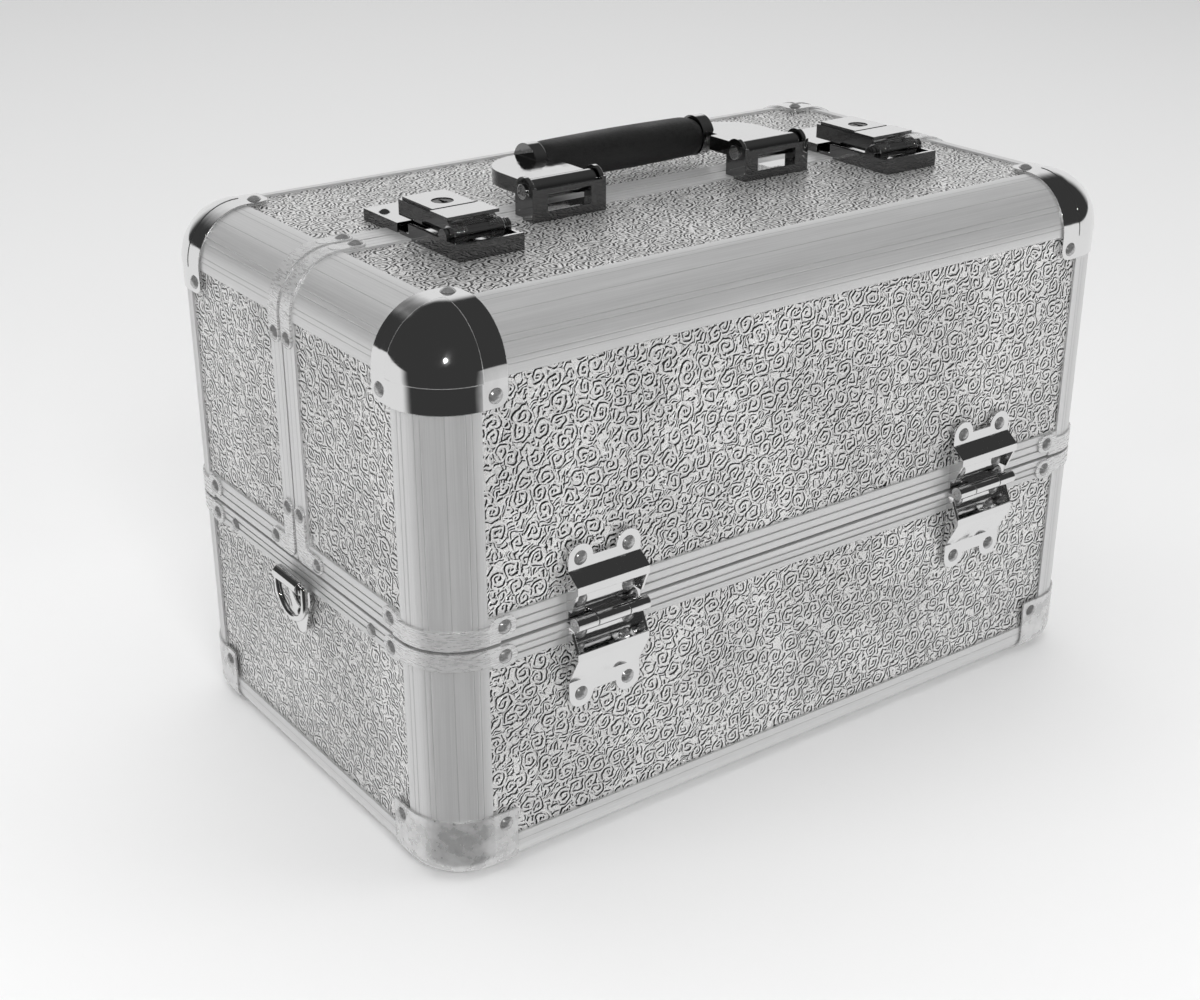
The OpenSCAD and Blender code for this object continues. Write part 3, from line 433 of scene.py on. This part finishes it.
# Which finish each CAD node has, by how its name ends
FINISHES = (
    ("long_panels", "foil_long"), ("wall_panel", "foil_long"), ("end_panels", "foil_end"),
    ("top_panel", "foil_top"), ("bottom_panel", "foil_top"),
    ("posts", "post"), ("top_rail", "top_rail"), ("end_rails", "end_rail"),
    ("bottom_rails", "flat_rail"), ("rim_rails", "flat_rail"), ("seam_rails", "seam_rail"),
    ("rim_brackets", "bracket"), ("lid_brackets", "bracket"), ("rivets", "rivet"),
    ("handle_brackets", "casting"), ("latch_bodies", "casting"), ("latch_strikes", "casting"),
    ("hasp", "casting"), ("handle_ends", "casting"),
    ("bottom_caps", "zinc"), ("key_plug", "plug"), ("handle_grip", "rubber"),
    ("lining", "flock"), ("tray", "tray"), ("arms", "arm"),
)


def finish_of(node):
    if node == "arm_posts":
        return "arm"
    for ending, finish in FINISHES:
        if node.endswith(ending):
            return finish
    return "chrome"


def dress(materials):
    for name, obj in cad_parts.items():
        obj.data.materials.clear()
        obj.data.materials.append(materials[finish_of(name)])


# ---------- added pieces ----------

def mesh_object(name, build, material, body):
    """A mesh piece built by build(bm), riding on a body."""
    bm = bmesh.new()
    build(bm)
    bmesh.ops.recalc_face_normals(bm, faces=bm.faces)
    mesh = bpy.data.meshes.new(name)
    bm.to_mesh(mesh)
    bm.free()
    mesh.materials.append(material)
    for face in mesh.polygons:
        face.use_smooth = True
    obj = bpy.data.objects.new(name, mesh)
    bpy.context.scene.collection.objects.link(obj)
    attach(obj, body)
    return obj


def sweep(bm, rings, closed=False):
    """Skins a list of rings of points; the ends are capped unless the run is closed."""
    made = [[bm.verts.new(p) for p in ring] for ring in rings]
    count = len(made[0])
    pairs = list(zip(made, made[1:] + made[:1] if closed else made[1:]))
    for one, two in pairs:
        for k in range(count):
            bm.faces.new((one[k], one[(k + 1) % count], two[(k + 1) % count], two[k]))
    if not closed:
        bm.faces.new(made[0])
        bm.faces.new(reversed(made[-1]))


def grip_ring(x, half_y, half_z, centre, sides=40, power=2.4):
    """One cross-section of the grip: a soft squared oval with its finger side flatter."""
    ring = []
    for k in range(sides):
        a = 2 * math.pi * k / sides
        c, s = math.cos(a), math.sin(a)
        y = math.copysign(abs(c) ** (2 / power), c) * half_y
        z = math.copysign(abs(s) ** (2 / power), s) * half_z
        ring.append(centre + Vector((x, y, z)))
    return ring


def make_grip(materials):
    """The rubber grip, moulded fuller in its middle with rounded shoulders."""
    low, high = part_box("handle_grip")
    centre = (low + high) / 2
    half = (high.x - low.x) / 2
    centre.x = 0.0
    half_y, half_z = (high.y - low.y) / 2, (high.z - low.z) / 2
    steps = 44
    shoulder_length = 6 * MM
    # the shoulder's curve starts this far along, past its steepest foot
    first_step = 0.1 * MM
    end_share = 0.80
    swell_share = 0.06

    def build(bm):
        rings = []
        for k in range(steps + 1):
            t = -1 + 2 * k / steps
            x = half * math.sin(t * math.pi / 2)
            from_end = half - abs(x)
            shoulder = min(1.0, (from_end + first_step) / shoulder_length)
            round_off = math.sqrt(max(0.0, 1 - (1 - shoulder) ** 2))
            swell = 1 - swell_share + swell_share * math.cos(x / half * math.pi / 2)
            share = swell * (end_share + (1 - end_share) * round_off)
            rings.append(grip_ring(x, half_y * share, half_z * share, centre))
        sweep(bm, rings)

    grip = mesh_object("grip_moulding", build, materials["rubber"], "handle")
    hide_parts("handle_grip")


def rounded_path(x, y0, y1, z, corner):
    """Points around a rectangle with round corners, each with the direction outward."""
    path = []
    for cx, cy, start in ((x - corner, y1 - corner, 0), (-x + corner, y1 - corner, 90),
                          (-x + corner, y0 + corner, 180), (x - corner, y0 + corner, 270)):
        for k in range(7):
            a = math.radians(start + 15 * k)
            outward = Vector((math.cos(a), math.sin(a), 0))
            path.append((Vector((cx, cy, z)) + outward * corner, outward))
    return path


def tray_rims(materials):
    """A rolled bead around the top edge of each tray."""
    bead = 1.2 * MM
    corner = 3.8 * MM
    flatness = 0.8
    for body in ("front_lower_tray", "front_upper_tray", "rear_lower_tray", "rear_upper_tray"):
        low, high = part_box(body)
        # the arm studs stand out past the tray's walls, so its ends follow from its half length
        path = rounded_path(TRAY_HALF - bead, low.y + bead, high.y - bead, high.z, corner)

        def build(bm, path=path):
            rings = []
            for p, outward in path:
                ring = []
                for j in range(12):
                    b = 2 * math.pi * j / 12
                    rise = Vector((0, 0, bead * flatness * math.sin(b)))
                    ring.append(p + outward * (bead * math.cos(b)) + rise)
                rings.append(ring)
            sweep(bm, rings, closed=True)

        mesh_object(body + "_rim", build, materials["tray"], body)


def spring(name, body, centre, materials):
    """A small coil around a latch's front pin."""
    radius = 3.5 * MM
    wire = 0.45 * MM
    length = 6.5 * MM
    turns = 6
    steps = 20

    def build(bm):
        rings = []
        total = turns * steps
        for k in range(total + 1):
            a = 2 * math.pi * k / steps
            x = centre.x - length / 2 + length * k / total
            outward = Vector((0, math.cos(a), math.sin(a)))
            middle = Vector((x, centre.y, centre.z)) + outward * radius
            ring = []
            for j in range(8):
                b = 2 * math.pi * j / 8
                along = Vector((wire * math.sin(b), 0, 0))
                ring.append(middle + outward * (wire * math.cos(b)) + along)
            rings.append(ring)
        sweep(bm, rings)

    return mesh_object(name, build, materials["chrome"], body)


def make_springs(materials):
    """A coil on each side of both hasps' pivots."""
    from_middle = 0.0085
    for side, body in ((-1, "left_hasp"), (1, "right_hasp")):
        middle = Vector((side * LATCH_X, HASP_PIVOT_Y, HASP_PIVOT_Z))
        for end, letter in ((-1, "a"), (1, "b")):
            centre = middle + Vector((end * from_middle, 0, 0))
            spring(f"{body}_spring_{letter}", body, centre, materials)


# ---------- studio ----------

CAMERA_AT = (-0.4807, -0.6208, 0.4407)
CAMERA_TO = (0.0, 0.0384, 0.0689)
CAMERA_LENS = 54.7
# The level direction from the case towards the camera, where the room is dark
DARK_SIDE = (-0.61, -0.79)


PALE, DARK = 0.68, 0.035
FLOOR_HALF = 8.0
FLOOR_TONE = 0.90


def make_camera():
    data = bpy.data.cameras.new("camera")
    data.lens = CAMERA_LENS
    data.sensor_width = 36.0
    camera = bpy.data.objects.new("camera", data)
    bpy.context.scene.collection.objects.link(camera)
    camera.location = CAMERA_AT
    aim = Vector(CAMERA_TO) - Vector(CAMERA_AT)
    camera.rotation_euler = aim.to_track_quat("-Z", "Y").to_euler()
    bpy.context.scene.camera = camera


def softbox(name, place, target, size, power, in_gloss=True):
    data = bpy.data.lights.new(name, "AREA")
    data.shape = "RECTANGLE"
    data.size, data.size_y = size
    data.energy = power
    light = bpy.data.objects.new(name, data)
    bpy.context.scene.collection.objects.link(light)
    light.location = place
    aim = Vector(target) - Vector(place)
    light.rotation_euler = aim.to_track_quat("-Z", "Y").to_euler()
    light.visible_glossy = in_gloss
    return light


def make_world():
    """A dark room, pale behind the case and, below the horizon, all but towards the camera."""
    world = bpy.data.worlds.new("studio")
    bpy.context.scene.world = world
    world.use_nodes = True
    n = Nodes.on_tree(world.node_tree)
    direction = n.add("ShaderNodeTexCoord", out="Generated")
    height = n.parts(direction)["Z"]
    ceiling = n.ramp(height, 0.42, 0.62)
    # below the horizon the dark side is narrower, so that faces turned off it see the pale floor
    narrower = n.ramp(height, -0.05, 0.10, 1.05, 0.0)
    towards = n.vector("DOT_PRODUCT", direction, (*DARK_SIDE, 0.0), out="Value")
    viewer = n.ramp(n.math("SUBTRACT", towards, narrower), -0.80, -0.50)
    dark = n.math("MAXIMUM", ceiling, viewer)
    back = world.node_tree.nodes["Background"]
    n.put(back.inputs["Color"], n.mix(dark, grey(PALE), grey(DARK)))
    back.inputs["Strength"].default_value = 1.15


def plain_card(name, corners, tone):
    """A flat card of four corners that belongs to the studio."""
    mesh = bpy.data.meshes.new(name)
    mesh.from_pydata(corners, [], [(0, 1, 2, 3)])
    card = bpy.data.objects.new(name, mesh)
    bpy.context.scene.collection.objects.link(card)
    n = Nodes(name)
    n.set(Base_Color=grey(tone), Roughness=0.85)
    mesh.materials.append(n.material)
    return card


def make_studio():
    make_world()
    middle = (0.0, 0.0, 0.12)
    softbox("key", (-0.9, -1.7, 1.3), middle, (1.1, 0.8), 25, in_gloss=False)
    softbox("fill", (1.5, -1.2, 0.7), middle, (1.0, 0.8), 6, in_gloss=False)
    softbox("side", (-1.7, 0.3, 0.8), middle, (0.8, 0.8), 6, in_gloss=False)
    softbox("top", (0.5, 1.1, 2.6), (0.5, 1.1, 0.0), (5.0, 5.0), 92, in_gloss=False)
    softbox("spark", (-0.62, -0.86, 0.62), middle, (0.05, 0.05), 1.2)
    corners = [(-1, -1), (1, -1), (1, 1), (-1, 1)]
    corners = [(x * FLOOR_HALF, y * FLOOR_HALF, 0) for x, y in corners]
    floor = plain_card("floor", corners, FLOOR_TONE)
    floor.visible_glossy = False
    bpy.context.scene.view_settings.view_transform = "Standard"


materials = make_materials()
dress(materials)
make_grip(materials)
tray_rims(materials)
make_springs(materials)
make_camera()
make_studio()
